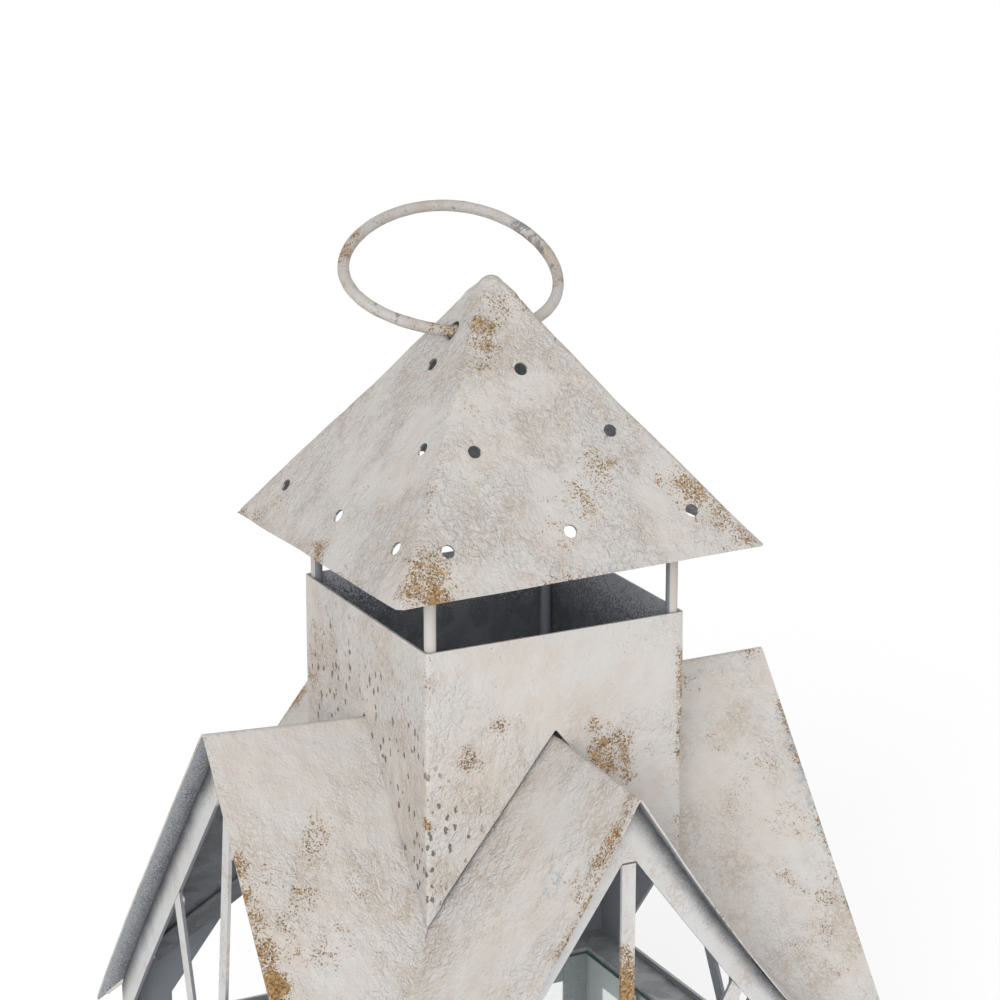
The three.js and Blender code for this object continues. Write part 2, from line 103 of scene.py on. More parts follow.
# %% Light the room
sky = bpy.data.worlds.new("studio")
sky.use_nodes = True
sky.node_tree.nodes["Background"].inputs["Color"].default_value = (1, 1, 1, 1)
sky.node_tree.nodes["Background"].inputs["Strength"].default_value = 0.9
bpy.context.scene.world = sky
bpy.context.scene.view_settings.view_transform = "Standard"

window = bpy.data.lights.new("window", "SUN")
window.energy = 1.9
window.angle = math.radians(30)
holder = bpy.data.objects.new("window", window)
holder.rotation_euler = Vector((-0.52, -0.78, 0.3)).to_track_quat("Z", "Y").to_euler()
bpy.context.scene.collection.objects.link(holder)
print("sky and window placed")

# %% [markdown]
# ## Arithmetic for finishes
# A finish is a web of nodes, and most of the nodes are sums. Writing the sums as Python keeps a finish
# readable: a Field is one value that varies over a surface, and adding or scaling Fields adds the
# nodes. Colours are mixed with Mix nodes, because a Math node would turn them grey.

# %% Fields that stand for node sockets
class Field:
    """One output socket of a finish, with arithmetic that adds Math nodes."""

    def __init__(self, tree, socket=None):
        self.tree = tree
        self.socket = socket

    def node(self, kind, settings=None, inputs=None, output=0):
        """Adds a node, applies its settings, fills its inputs and returns one of its outputs."""
        made = self.tree.nodes.new("ShaderNode" + kind)
        for name, value in (settings or {}).items():
            setattr(made, name, value)
        for name, value in (inputs or {}).items():
            if isinstance(value, Field):
                self.tree.links.new(value.socket, made.inputs[name])
            else:
                made.inputs[name].default_value = value
        return Field(self.tree, made.outputs[output])

    def sums(self, operation, *values):
        return self.node("Math", {"operation": operation}, dict(enumerate(values)))

    def __add__(self, other):
        return self.sums("ADD", self, other)

    __radd__ = __add__

    def __sub__(self, other):
        return self.sums("SUBTRACT", self, other)

    def __rsub__(self, other):
        return self.sums("SUBTRACT", other, self)

    def __mul__(self, other):
        return self.sums("MULTIPLY", self, other)

    __rmul__ = __mul__

    def __abs__(self):
        return self.sums("ABSOLUTE", self)

    def most(self, other):
        return self.sums("MAXIMUM", self, other)

    def least(self, other):
        return self.sums("MINIMUM", self, other)

    def step(self, low, high):
        """0 below low and 1 above high, smooth between them."""
        return self.node("MapRange", {"interpolation_type": "SMOOTHSTEP"},
                         {"Value": self, "From Min": low, "From Max": high})

    def scaled(self, x, y, z):
        return self.node("VectorMath", {"operation": "MULTIPLY"}, {0: self, 1: (x, y, z)})

    def dot(self, other):
        return self.node("VectorMath", {"operation": "DOT_PRODUCT"}, {0: self, 1: other}, "Value")

    def grain(self, scale, detail=4, roughness=0.6, distortion=0.0):
        """Soft noise from 0 to 1, about one over scale metres across."""
        return self.node("TexNoise", None, {"Vector": self, "Scale": scale, "Detail": detail,
                                            "Roughness": roughness, "Distortion": distortion})

    def cells(self, scale, output="Distance"):
        return self.node("TexVoronoi", None, {"Vector": self, "Scale": scale}, output)

    def parts(self):
        """A vector's three numbers."""
        outputs = self.node("SeparateXYZ", None, {0: self}).socket.node.outputs
        return [Field(self.tree, outputs[i]) for i in range(3)]

    def blend(self, low, high):
        """A colour that goes from low to high as this field goes from 0 to 1."""
        return self.node("Mix", {"data_type": "RGBA"}, {0: self, 6: low, 7: high}, 2)

    def raised(self):
        """The surface direction that this height in metres gives."""
        return self.node("Bump", None, {"Height": self, "Distance": 1.0, "Strength": 1.0})


class Finish(Field):
    """A new material and the Fields that every finish starts from."""

    def __init__(self, name):
        self.material = bpy.data.materials.new(name)
        self.material.use_nodes = True
        super().__init__(self.material.node_tree)
        self.shader = self.tree.nodes["Principled BSDF"]
        self.place = self.node("TexCoord", None, None, "Object")
        self.facing = self.node("NewGeometry", None, None, "Normal")

    def mark(self, name):
        """A value that was painted on the mesh's corners, and 0 where none was."""
        return self.node("Attribute", {"attribute_name": name}, None, "Fac")

    def wear(self, **sockets):
        """Gives the shader its sockets: Base_Color=... sets or links the socket Base Color."""
        for name, value in sockets.items():
            socket = self.shader.inputs[name.replace("_", " ")]
            if isinstance(value, Field):
                self.tree.links.new(value.socket, socket)
            else:
                socket.default_value = value
        print("finish", self.material.name, "with", len(self.tree.nodes), "nodes")
        return self.material


def rgb(red, green, blue):
    return (red, green, blue, 1.0)


# %% [markdown]
# ## Antique white paint
# The real coat is brushed chalk paint over a gold ground on zinc. It is lumpy, it is warmer where it
# is thin, and it has chipped to the gold along folds and rims, with dark pits where drops dried. One
# recipe makes all of that. Noise at several sizes gives the lumps and the warm mottling. Marks painted
# on the mesh say where the coat has suffered: gold, grey and pitted. Fine noise breaks each mark into
# specks, so that the specks stay sharp although the mesh is coarse. A fourth mark, calm, says where the
# coat is smooth. A fifth, shaded, says where it thins to dark metal under the eaves, and where painted
# shade, close to black, stands for the shadow that the overhanging sheets cast. The cap, the frames,
# the body, the ring and the rods each get the recipe with their own tones and relief.

# %% Mix the paint
CHALK, CREAM = rgb(0.495, 0.476, 0.455), rgb(0.483, 0.44, 0.397)
GOLD, BROWN = rgb(0.4, 0.235, 0.085), rgb(0.17, 0.1, 0.045)
RUBBED = rgb(0.33, 0.365, 0.39)
PIT = rgb(0.085, 0.08, 0.075)
# SHADOW is painted shade: the near black that the eaves' shadow leaves on the frame bars.
SHADOW = rgb(0.022, 0.025, 0.033)
DULL_ZINC = rgb(0.17, 0.18, 0.2)


def aged_paint(name, chalk=CHALK, cream=CREAM, rubbed=RUBBED, speckle=0.0, relief=1.0,
               painted_eave_shade=False, inside=False):
    """Brushed antique white that has chipped to gold, rubbed to grey and dried with pits."""
    coat = Finish(name)
    spot = coat.place
    warmth = (spot.grain(30, 3) * 0.6 + spot.grain(140, 3, 0.6) * 0.4).step(0.38, 0.64)
    colour = warmth.blend(chalk, cream)

    thick = spot.grain(24, 3, 0.6).step(0.36, 0.6) * (1 - coat.mark("calm"))
    lumps = spot.grain(430, 3, 0.6, 0.7)
    wrinkle = 1 - abs(spot.grain(230, 3, 0.55, 1.1) - 0.5) * 2
    crease = wrinkle.step(0.86, 0.98) * spot.grain(60, 2).step(0.46, 0.58) * thick
    hollow = (1 - lumps.step(0.28, 0.46)) * thick
    colour = (hollow * 0.13 + crease * 0.45).blend(colour, rgb(0.3, 0.225, 0.155))

    fine = spot.grain(1150, 3, 0.75)
    cluster = spot.grain(85, 4, 0.7)
    chip = fine * 0.8 + cluster * 0.5 + coat.mark("gold") * 0.2 + speckle
    halo = chip.step(0.76, 0.84) * 0.35
    bare = chip.step(0.835, 0.86)
    colour = halo.blend(colour, rgb(0.4, 0.31, 0.22))
    tarnish = spot.grain(700, 3).step(0.4, 0.56)
    colour = bare.blend(colour, tarnish.blend(BROWN, GOLD))

    worn_thin = spot.grain(300, 6, 0.75) + coat.mark("grey") * 0.3
    rub = worn_thin.step(0.7, 0.8) * 0.8
    colour = rub.blend(colour, rubbed)

    drops = spot.scaled(1.0, 1.0, 0.5).cells(280)
    odd = spot.grain(430, 2)
    pit = 1 - (drops + odd * 0.8).step(0.56, 0.66)
    pit = pit * spot.grain(75, 2).step(0.38, 0.46) * coat.mark("pitted").step(0.25, 0.8)
    colour = (pit * 0.85).blend(colour, PIT)

    # Painted shade: the bars go near black close under the roof sheets. This stands for the overhang's shadow as
    # well as for thin paint over bare metal.
    if painted_eave_shade:
        grit = (spot.grain(1400, 2) - 0.5) * 0.35 + (spot.grain(60, 2) - 0.5) * 0.4
        shade = (coat.mark("shaded") + grit).step(0.12, 1.1)
        colour = (shade * 0.97).blend(colour, SHADOW)
    if inside:
        outward = spot.scaled(1, 1, 0).dot(coat.facing)
        colour = (1 - outward.step(-0.004, -0.002)).blend(colour, DULL_ZINC)

    bumpy = thick * 0.8 + 0.2
    height = spot.grain(95, 3, 0.5) * 0.9 * MM
    height = height + (lumps * 0.75 + wrinkle.step(0.55, 1.0) * 0.22) * bumpy * MM
    height = height * relief - bare * 0.14 * MM - pit * 0.5 * MM
    return coat.wear(Base_Color=colour, Roughness=0.58 - bare * 0.25, Metallic=bare * 0.6,
                     Normal=height.raised())


paint = aged_paint("antique_white", relief=1.45)
cap_paint = aged_paint("antique_white_cap", rgb(0.456, 0.437, 0.417), rgb(0.45, 0.418, 0.384),
                       speckle=0.012, relief=2.1)
# The frame bars' paint carries painted shade, which makes it near black close under the roof sheets.
frame_paint = aged_paint("antique_white_painted_eave_shade", rgb(0.49, 0.494, 0.498), rgb(0.48, 0.466, 0.45),
                         relief=0.3, painted_eave_shade=True, inside=True)
body_paint = aged_paint("antique_white_body", relief=1.3, inside=True)
wire_paint = aged_paint("antique_white_wire", rgb(0.39, 0.375, 0.36), rgb(0.36, 0.31, 0.26),
                        rgb(0.11, 0.115, 0.125), speckle=0.065, relief=0.6)
rod_paint = aged_paint("antique_white_rod", rgb(0.46, 0.44, 0.42), rgb(0.44, 0.4, 0.36), relief=0.3,
                       inside=True)


# %% [markdown]
# ## Bare zinc, brass, glass, wax and cotton
# Inside, the sheet was never painted. Overspray has flecked its zinc, so it is dull and faintly
# blotched. The chimney's lining is darker, and a mark makes its pale specks thicker near its rim. The
# same mark does so near the rakes under the roof. The hinges and the knob are brass that has browned.
# Glass is nearly all clear, with a green edge, and its reflection grows at a glancing angle. Real
# glass bends light, which a thin pane doesn't show, so the pane is see-through here and renders
# without noise.

# %% Mix the bare metals
def dull_zinc(name, base, specks):
    """Galvanised sheet: soft spangles, fine grit and a few pale specks of overspray."""
    metal = Finish(name)
    spot = metal.place
    spangle = metal.node("RGBToBW", None, {0: spot.cells(160, "Color")})
    grit = spot.grain(1300, 2)
    cloud = spot.grain(45, 4)
    tone = (spangle * 0.25 + grit * 0.35 + cloud * 0.4).step(0.28, 0.72)
    darker = tuple(v * 0.55 for v in base[:3])
    colour = tone.blend(rgb(*darker), base)
    pale_specks = (spot.grain(1500, 2) + metal.mark("pale_specks") * 0.34).step(0.62, 0.8) * specks
    colour = pale_specks.blend(colour, rgb(0.4, 0.415, 0.44))
    return metal.wear(Base_Color=colour, Roughness=0.62 - tone * 0.16, Metallic=0.25,
                      Normal=(grit * 0.05 * MM + cloud * 0.3 * MM).raised())


def aged_brass(name):
    """Brass, bright where fingers rub it and brown elsewhere."""
    metal = Finish(name)
    spot = metal.place
    brown = spot.grain(170, 5, 0.65).step(0.4, 0.66)
    colour = brown.blend(rgb(0.52, 0.34, 0.12), rgb(0.13, 0.08, 0.04))
    return metal.wear(Base_Color=colour, Roughness=0.3 + brown * 0.3, Metallic=1 - brown * 0.4,
                      Normal=(spot.grain(500, 4) * 0.08 * MM).raised())


inner_zinc = dull_zinc("bare_zinc_inside", rgb(0.18, 0.19, 0.205), 0.9)
lining_zinc = dull_zinc("bare_zinc_chimney", rgb(0.165, 0.172, 0.19), 1.0)
plate_zinc = dull_zinc("zinc_plate", rgb(0.44, 0.45, 0.465), 0.3)
brass = aged_brass("aged_brass")


# %% Mix glass, wax and cotton
def window_glass(name):
    """A clear pane with a green edge, a few wipe marks and a stronger reflection at a slant."""
    pane = Finish(name)
    edge = abs(pane.facing.parts()[2]).step(0.5, 0.9)
    slant = pane.node("LayerWeight", None, {"Blend": 0.35}, "Fresnel")
    smear = pane.place.scaled(1, 1, 0.35).grain(16, 5, 0.7, 1.2).step(0.5, 0.8) * 0.05
    clear = (0.045 + slant * 0.42 + smear).least(0.9)
    colour = edge.blend(rgb(0.8, 0.88, 0.85), rgb(0.006, 0.09, 0.06))
    return pane.wear(Base_Color=colour, Roughness=0.04 + smear * 2.0, IOR=1.5,
                     Alpha=edge.most(clear) * 0.96)


def candle_wax(name):
    """Ivory wax, whiter where it has bloomed and yellower round the wick."""
    block = Finish(name)
    spot = block.place
    bloom = spot.grain(38, 4).step(0.42, 0.66)
    height = spot.parts()[2]
    molten = height + (spot.grain(60, 2) - 0.5) * 0.01
    pool = molten.step(candle_high.z - 9 * MM, candle_high.z - 2 * MM)
    colour = bloom.blend(rgb(0.83, 0.76, 0.6), rgb(0.86, 0.82, 0.71))
    colour = (pool * 0.5).blend(colour, rgb(0.8, 0.68, 0.45))
    return block.wear(Base_Color=colour, Roughness=0.42 + bloom * 0.12, Subsurface_Weight=0.25,
                      Subsurface_Radius=(0.012, 0.007, 0.003), Subsurface_Scale=0.6,
                      Normal=(spot.grain(140, 3) * 0.12 * MM).raised())


def charred_cotton(name):
    thread = Finish(name)
    height = thread.place.parts()[2]
    charred = height + thread.place.grain(700, 2) * 2 * MM
    burnt = charred.step(candle_high.z - 1 * MM, candle_high.z + 3 * MM)
    colour = burnt.blend(rgb(0.55, 0.47, 0.33), rgb(0.02, 0.016, 0.013))
    twist = thread.place.scaled(1, 1, 0.5).grain(1600, 2)
    return thread.wear(Base_Color=colour, Roughness=0.9, Normal=(twist * 0.2 * MM).raised())


glass = window_glass("window_glass")
wax = candle_wax("ivory_wax")
cotton = charred_cotton("wick_cotton")


# %% [markdown]
# ## Tools for sheet pieces
# The solids have knife-sharp folds and dead flat faces. A copy of a solid can be worked on, and the
# solid itself is left alone. Welding the copy and joining its flat faces gives clean edges to round.
# Slicing it along a grid then gives it enough points to dent and to carry wear marks. Slicing is
# better than subdividing here, because it keeps every hole and every edge where it was.

# %% Copy, slice and finish a solid
WELD = 0.002 * MM


def copy_of(solid):
    """A welded copy of a solid's mesh, its flat faces joined again."""
    work = bmesh.new()
    work.from_mesh(solids[solid].data)
    bmesh.ops.remove_doubles(work, verts=work.verts, dist=WELD)
    bmesh.ops.dissolve_limit(work, angle_limit=math.radians(0.3), verts=work.verts, edges=work.edges)
    return work


def sliced(work, spacing, axes="xyz"):
    """Cuts a mesh along planes square to the given axes, which adds points without moving any."""
    for axis in axes:
        i = "xyz".index(axis)
        low = min(v.co[i] for v in work.verts)
        high = max(v.co[i] for v in work.verts)
        count = max(1, round((high - low) / spacing))
        normal = Vector([float(k == i) for k in range(3)])
        for step in range(1, count):
            point = normal * (low + (high - low) * step / count)
            bmesh.ops.bisect_plane(work, geom=work.verts[:] + work.edges[:] + work.faces[:],
                                   dist=0.001 * MM, plane_co=point, plane_no=normal)


def rounded(work, edges, width, segments=3):
    bmesh.ops.bevel(work, geom=edges, offset=width, offset_type="OFFSET", affect="EDGES",
                    segments=segments, profile=0.5, material=-1)


def made(work, name, body, slot, finishes, stands_for=(), crease=34):
    """Turns a worked mesh into a piece that rides on a body and wears its finishes."""
    mesh = bpy.data.meshes.new(name)
    work.to_mesh(mesh)
    work.free()
    for finish in finishes:
        mesh.materials.append(finish)
    mesh.shade_smooth()
    mesh.set_sharp_from_angle(angle=math.radians(crease))
    piece = bpy.data.objects.new(name, mesh)
    bpy.context.scene.collection.objects.link(piece)
    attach(piece, body)
    if stands_for:
        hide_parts(*stands_for)
    print("made", name, len(mesh.polygons), "faces")
    return piece


# %% [markdown]
# ## Where the coat has suffered
# Chips gather where hands and other things rub: on the cap's hips and rim, on the chimney's corners and
# on the rakes of the roof. Each patch is a point in millimetres with a radius and a strength. Calm
# patches are the ones where the coat dried smooth. At the back and the right, more patches are drawn at
# random from a seed, so that the lantern looks equally old from behind.

# %% List the worn patches
GOLD_PATCHES = [
    (-11, -14, 629, 6, .95), (-13, -19, 622, 5, .85), (-17, -22, 617, 4, .6), (-2, -9, 637, 5, .7),
    (7, -7, 638, 4, .7), (0, -13, 631, 5, .5), (-64, -72, 552, 9, 1), (-62, -79, 542, 7, 1),
    (-72, -75, 547, 6, .9), (-54, -77, 545, 5, .5), (-79, -2, 542, 7, 1), (-79, 4, 544, 5, .9),
    (-79, -30, 542, 5, .5), (15, -58, 570, 12, .62), (22, -53, 577, 8, .6), (8, -63, 563, 7, .5),
    (56, -64, 563, 10, .85), (65, -70, 554, 8, .8), (72, -76, 546, 6, .8), (48, -65, 560, 6, .6),
    (41, -58, 571, 7, .4), (-71, 48, 552, 6, .5), (-78, 61, 544, 6, .7), (-5, -69, 555, 8, .35),
    (-28, -37, 599, 6, .35), (58, -58, 495, 4, 1), (58, -58, 486, 4, .8), (58, -58, 478, 4, 1),
    (58, -58, 469, 4, .8), (58, -58, 461, 4, 1), (58, -58, 453, 4, .9), (27, -58, 461, 10, .9),
    (20, -58, 468, 7, .7), (32, -58, 450, 6, .8), (38, -58, 455, 6, .5), (-58, 44, 482, 8, .6),
    (-58, 31, 492, 7, .5), (-58, 50, 478, 8, .55), (-58, -58, 442, 3, 1.1), (-39, -58, 466, 7, .5),
    (-19, -58, 480, 6, .35), (-131, -34, 427, 5, 1), (-130, -42, 416, 5, 1.2),
    (-130, -49, 407, 6, 1.2), (-129, -56, 398, 7, 1.2), (-128, -64, 388, 7, 1.3),
    (-107, -45, 413, 9, .62), (-96, -31, 430, 7, .58), (-113, -49, 407, 9, .66),
    (-90, -27, 436, 6, .5), (-81, -48, 409, 7, .48), (-96, -55, 400, 7, .48),
    (-119, -57, 397, 8, .64), (-120, -37, 423, 6, .5), (-104, -57, 397, 7, .56),
    (-126, -72, 377, 7, 1.2), (-24, -126, 439, 9, .8), (-16, -128, 450, 6, 1),
    (-13, -127, 454, 5, 1), (-30, -124, 432, 6, .7), (-26, -106, 437, 5, .5), (-2, -127, 467, 4, 1),
    (-6, -128, 462, 4, .9), (-20, -129, 445, 5, .85), (-36, -111, 425, 6, .4),
    (-53, -94, 403, 6, .4), (92, -7, 461, 5, .5), (122, -2, 467, 5, .55), (109, -3, 466, 4, .45),
    (131, -2, 468, 4, .6), (-30, 131, 432, 5, 1.5), (113, -31, 430, 9, .45),
    (118, -49, 408, 10, .5), (97, -41, 418, 10, .35), (119, -71, 380, 10, .5),
    (108, -64, 389, 9, .45), (110, -86, 361, 10, .45), (97, -24, 440, 9, .3), (-58, 48, 489, 7, .7),
    (-58, 38, 488, 6, .7), (-58, 51, 468, 7, .7), (-58, 39, 461, 6, .5), (-58, 33, 485, 6, .5),
    (17, -58, 463, 5, .8), (24, -58, 453, 5, 1.1), (20, -58, 458, 5, 1), (-26, -58, 477, 5, .6),
    (-39, -58, 466, 5, .7), (-2, -122, 399, 6, 1), (-1, -122, 391, 7, 1.2), (-1, -122, 382, 8, 1.3),
]
GREY_PATCHES = [
    (131, -20, 445, 5, 1), (131, -28, 434, 5, 1), (131, -37, 423, 5, 1), (131, -45, 413, 5, 1),
    (130, -53, 402, 5, .9), (130, -62, 392, 4, .8), (130, -71, 380, 4, .8), (-31, -108, 431, 8, .7),
    (-27, -108, 436, 6, .6), (99, -4, 465, 6, .6), (-122, 0, 469, 6, .7), (-113, -1, 468, 6, .6),
    (-6, -78, 543, 7, .6), (12, -79, 541, 6, .6), (6, -48, 583, 12, .4), (-10, -28, 611, 10, .4),
    (-66, 12, 559, 10, .4), (18, -58, 566, 8, .6),
]
PITTED_PATCHES = [
    (-58, 20, 482, 26, .8), (-58, -20, 462, 30, 1), (-58, -45, 440, 24, 1), (-52, -58, 450, 14, .4),
    (-58, 40, 470, 22, .7), (-75, -62, 395, 24, .4), (-40, -100, 415, 22, .4),
    (20, -50, 580, 18, .3), (-58, -50, 420, 20, .9), (-58, 8, 480, 11, 1.2), (-58, 18, 489, 8, 1),
    (-58, -36, 461, 11, 1.2), (-58, -36, 452, 9, 1.2), (-58, -46, 445, 8, 1.2),
    (-58, -49, 433, 8, 1.2), (-58, -51, 422, 7, 1.1), (-58, -25, 468, 8, 1),
]
CALM_PATCHES = [
    (19, -58, 499, 22, 1), (38, -58, 490, 16, 1), (0, -58, 506, 14, 1), (-103, -10, 458, 26, .9),
    (-98, -16, 450, 16, .8), (-80, -10, 458, 14, .8),
]


def strays(count, seed, half, low, high):
    """Patches at random round the back and the right of a square of the given half width."""
    draw = random.Random(seed)
    patches = []
    for _ in range(count):
        along = draw.uniform(-half, half)
        level = draw.uniform(low, high)
        place = (half, along) if draw.random() < 0.5 else (along, half)
        patches.append((*place, level, draw.uniform(5, 13), draw.uniform(0.4, 0.9)))
    return patches


SOFT_RIM = 1.6


def mark_layer(work, mark):
    """The numbers of one mark on a mesh's points, made when they are first asked for."""
    return work.verts.layers.float.get(mark) or work.verts.layers.float.new(mark)


def worn(work, patches, mark, power=1.0):
    """Paints a mark on every point near a patch. It fades between 0.6 and 1.6 times the radius."""
    layer = mark_layer(work, mark)
    centres = [(Vector(p[:3]) * MM, p[3] * MM, p[4]) for p in patches]
    for vert in work.verts:
        for centre, radius, strength in centres:
            gap = (vert.co - centre).length / radius
            if gap < SOFT_RIM:
                vert[layer] = max(vert[layer], power * strength * min(1.0, SOFT_RIM - gap))


def worn_edge(work, mark, distance, reach, strength, seed):
    """Marks the points within reach of a line, in broken lengths."""
    layer = mark_layer(work, mark)
    offset = Vector((seed, seed * 2.7, seed * 0.4))
    for vert in work.verts:
        near = 1 - distance(vert.co) / reach
        if near > 0:
            broken = noise.noise(vert.co * 42 + offset) * 1.7 + 0.35
            vert[layer] = max(vert[layer], strength * near * min(1.0, max(0.0, broken)))


def faded(work, mark, distance, reach):
    """Marks every point with 1 on a line, falling to 0 at reach."""
    layer = mark_layer(work, mark)
    for vert in work.verts:
        vert[layer] = max(0.0, 1 - distance(vert.co) / reach)


# %% [markdown]
# ## Pierced cap
# The cap was cut from one sheet, pierced, and folded into a pyramid, and the folds came out round and
# a little uneven. It sits askew on its rods. The solid cap has the holes in the right places, so this
# piece starts from its copy. Its four folds are rounded, it is sliced, its points are nudged in and
# out together on both faces so that the sheet keeps its thickness, and last it is tilted.

# %% Make the cap
CAP_TILT = 0.019


def askew(co):
    """Where a point of the cap goes: it leans to its left back corner, and its tip is drawn up."""
    share_x, share_y = co.x / CAP_HALF, co.y / CAP_HALF
    tip = max(0.0, 1 - (cap_high.z - co.z) / (35 * MM)) ** 2
    pulled = 2.6 * MM * max(0.0, share_x) * max(0.0, -share_y)
    return Vector((co.x + pulled, co.y, co.z + CAP_TILT * (co.x - co.y) + 2.1 * MM * tip))


def hip_gap(co):
    return abs(abs(co.x) - abs(co.y)) * 0.7


def on_hip(edge):
    ends = [v.co for v in edge.verts]
    upper = all(face.normal.z > 0.1 for face in edge.link_faces)
    close = all(hip_gap(co) < 0.2 * MM for co in ends)
    return upper and close and len(edge.link_faces) == 2 and edge.calc_face_angle() > 0.6


def cap_rim_gap(co):
    return abs(co.z - cap_low.z)


work = copy_of("vent_cap")
rounded(work, [edge for edge in work.edges if on_hip(edge)], 2.2 * MM, 4)
sliced(work, 3.2 * MM)
for vert in work.verts:
    swell = noise.noise(vert.co * 26) * 0.7 * MM + noise.noise(vert.co * 75) * 0.25 * MM
    spread = max(abs(vert.co.x), abs(vert.co.y), 5 * MM)
    calm = min(1.0, (vert.co.xy.length / (30 * MM)) ** 2)
    vert.co.x += vert.co.x / spread * swell * calm
    vert.co.y += vert.co.y / spread * swell * calm
work.normal_update()
worn(work, GOLD_PATCHES + strays(16, 3, 66, 548, 600), "gold")
worn(work, GREY_PATCHES + strays(8, 4, 60, 545, 620), "grey")
worn(work, PITTED_PATCHES, "pitted")
worn_edge(work, "gold", hip_gap, 4 * MM, 0.6, 11)
worn_edge(work, "gold", cap_rim_gap, 4 * MM, 0.62, 12)
worn_edge(work, "grey", cap_rim_gap, 4 * MM, 0.9, 13)
for face in work.faces:
    face.material_index = int(face.normal.z < -0.05)
for vert in work.verts:
    vert.co = askew(vert.co)
made(work, "pierced_cap", "lantern", "aged_white_paint", [cap_paint, inner_zinc], ["vent_cap"])


# %% [markdown]
# ## Chimney
# A square sleeve folded from sheet and notched below to sit over the four ridges. Its folds are
# rounded like the cap's. The front notch was cut too wide, so its left edge is raised a little, and a
# dark slit shows between it and the gable.

# %% Make the chimney
def roof_gap(co):
    """Distance from a point up to the slopes, square to them."""
    return (RIDGE - min(abs(co.x), abs(co.y)) * SLOPE - co.z) * math.cos(PITCH)


def corner_gap(co):
    return abs(abs(co.x) - chimney_high.x) + abs(abs(co.y) - chimney_high.y)


def outer_corner(edge):
    ends = [v.co for v in edge.verts]
    tall = abs(ends[0].z - ends[1].z) > 10 * MM
    return tall and all(corner_gap(co) < 0.1 * MM for co in ends)


def sleeve_dent(co):
    """How far the sleeve bulges at a point, the same on both faces of its sheet."""
    calm = min(1.0, max(0.0, (chimney_high.z - co.z) / (25 * MM)))
    return calm * (noise.noise(co * 24) * 0.55 + noise.noise(co * 90) * 0.2) * MM


SLEEVE_FRONT = chimney_low.y + 2 * MM
NOTCH_LEFT = -52 * MM
work = copy_of("chimney")
rounded(work, [edge for edge in work.edges if outer_corner(edge)], 1.5 * MM, 4)
sliced(work, 3 * MM)
for vert in work.verts:
    spread = max(abs(vert.co.x), abs(vert.co.y))
    swell = sleeve_dent(vert.co)
    if vert.co.y < SLEEVE_FRONT and NOTCH_LEFT < vert.co.x < 0:
        vert.co.z += 1.7 * MM * max(0.0, 1 + roof_gap(vert.co) / (7 * MM))
    vert.co.x += vert.co.x / spread * swell
    vert.co.y += vert.co.y / spread * swell
work.normal_update()
worn(work, GOLD_PATCHES + strays(9, 5, 58, 430, 500), "gold")
worn(work, GREY_PATCHES + strays(5, 6, 58, 430, 510), "grey")
worn(work, PITTED_PATCHES + strays(4, 7, 58, 440, 480), "pitted", 1.2)
worn_edge(work, "gold", hip_gap, 3 * MM, 0.5, 21)
worn(work, CALM_PATCHES, "calm")
# A mark that is 1 at the chimney's rim and fades to 0 30 mm down. The lining's pale specks thicken towards it.
faded(work, "pale_specks", lambda co: chimney_high.z - co.z, 30 * MM)
for face in work.faces:
    inward = face.normal.dot(face.calc_center_median().xy.to_3d()) < -0.02
    face.material_index = int(inward)
made(work, "chimney_sleeve", "lantern", "aged_white_paint", [paint, lining_zinc], ["chimney"])


# %% [markdown]
# ## Roof gables
# Each gable is a sheet folded once along its ridge and cut at an angle to meet its neighbours. Painted
# sheet this thin ripples a little between its edges. The ripple is only upwards, because the gable's
# frame is just below. All four share one way of making and differ in where they are worn. The left and
# the front one were also bent by hand, and a rule for where each point settles bends whatever belongs
# to them.

# %% Make the four gables
def rake_gap(co):
    """Distance along a gable to the roof's outer end."""
    return roof_high.x - max(abs(co.x), abs(co.y))


def ridge_gap(co):
    return min(abs(co.x), abs(co.y))


def settled(co, side):
    """Where a point of a gable goes. The points in the valleys stay, so that the valleys stay shut."""
    along, across = (abs(co.y), abs(co.x)) if side == "front" else (abs(co.x), abs(co.y))
    out = max(0.0, min(1.0, (along - chimney_high.x) / (roof_high.x - chimney_high.x)))
    free = max(0.0, 1 - across / along) ** 0.5 if along else 0.0
    top = max(0.0, 1 - across / (90 * MM))
    if side == "left":
        return co + Vector((2.7 * MM * out * top, 0, 4.3 * MM * out * free))
    if side == "front":
        level = max(0.0, min(1.0, (co.z - roof_low.z) / (70 * MM)))
        outer = max(0.0, min(1.0, 1 - roof_gap(co) / (14 * MM)))
        narrow = 1 - (0.12 + 0.13 * outer) * out * free * level
        aside = 1.2 * MM * out * free * level
        nod = out * top
        return Vector((co.x * narrow + aside, co.y + 8 * MM * nod, co.z - 3.4 * MM * nod))
    return co


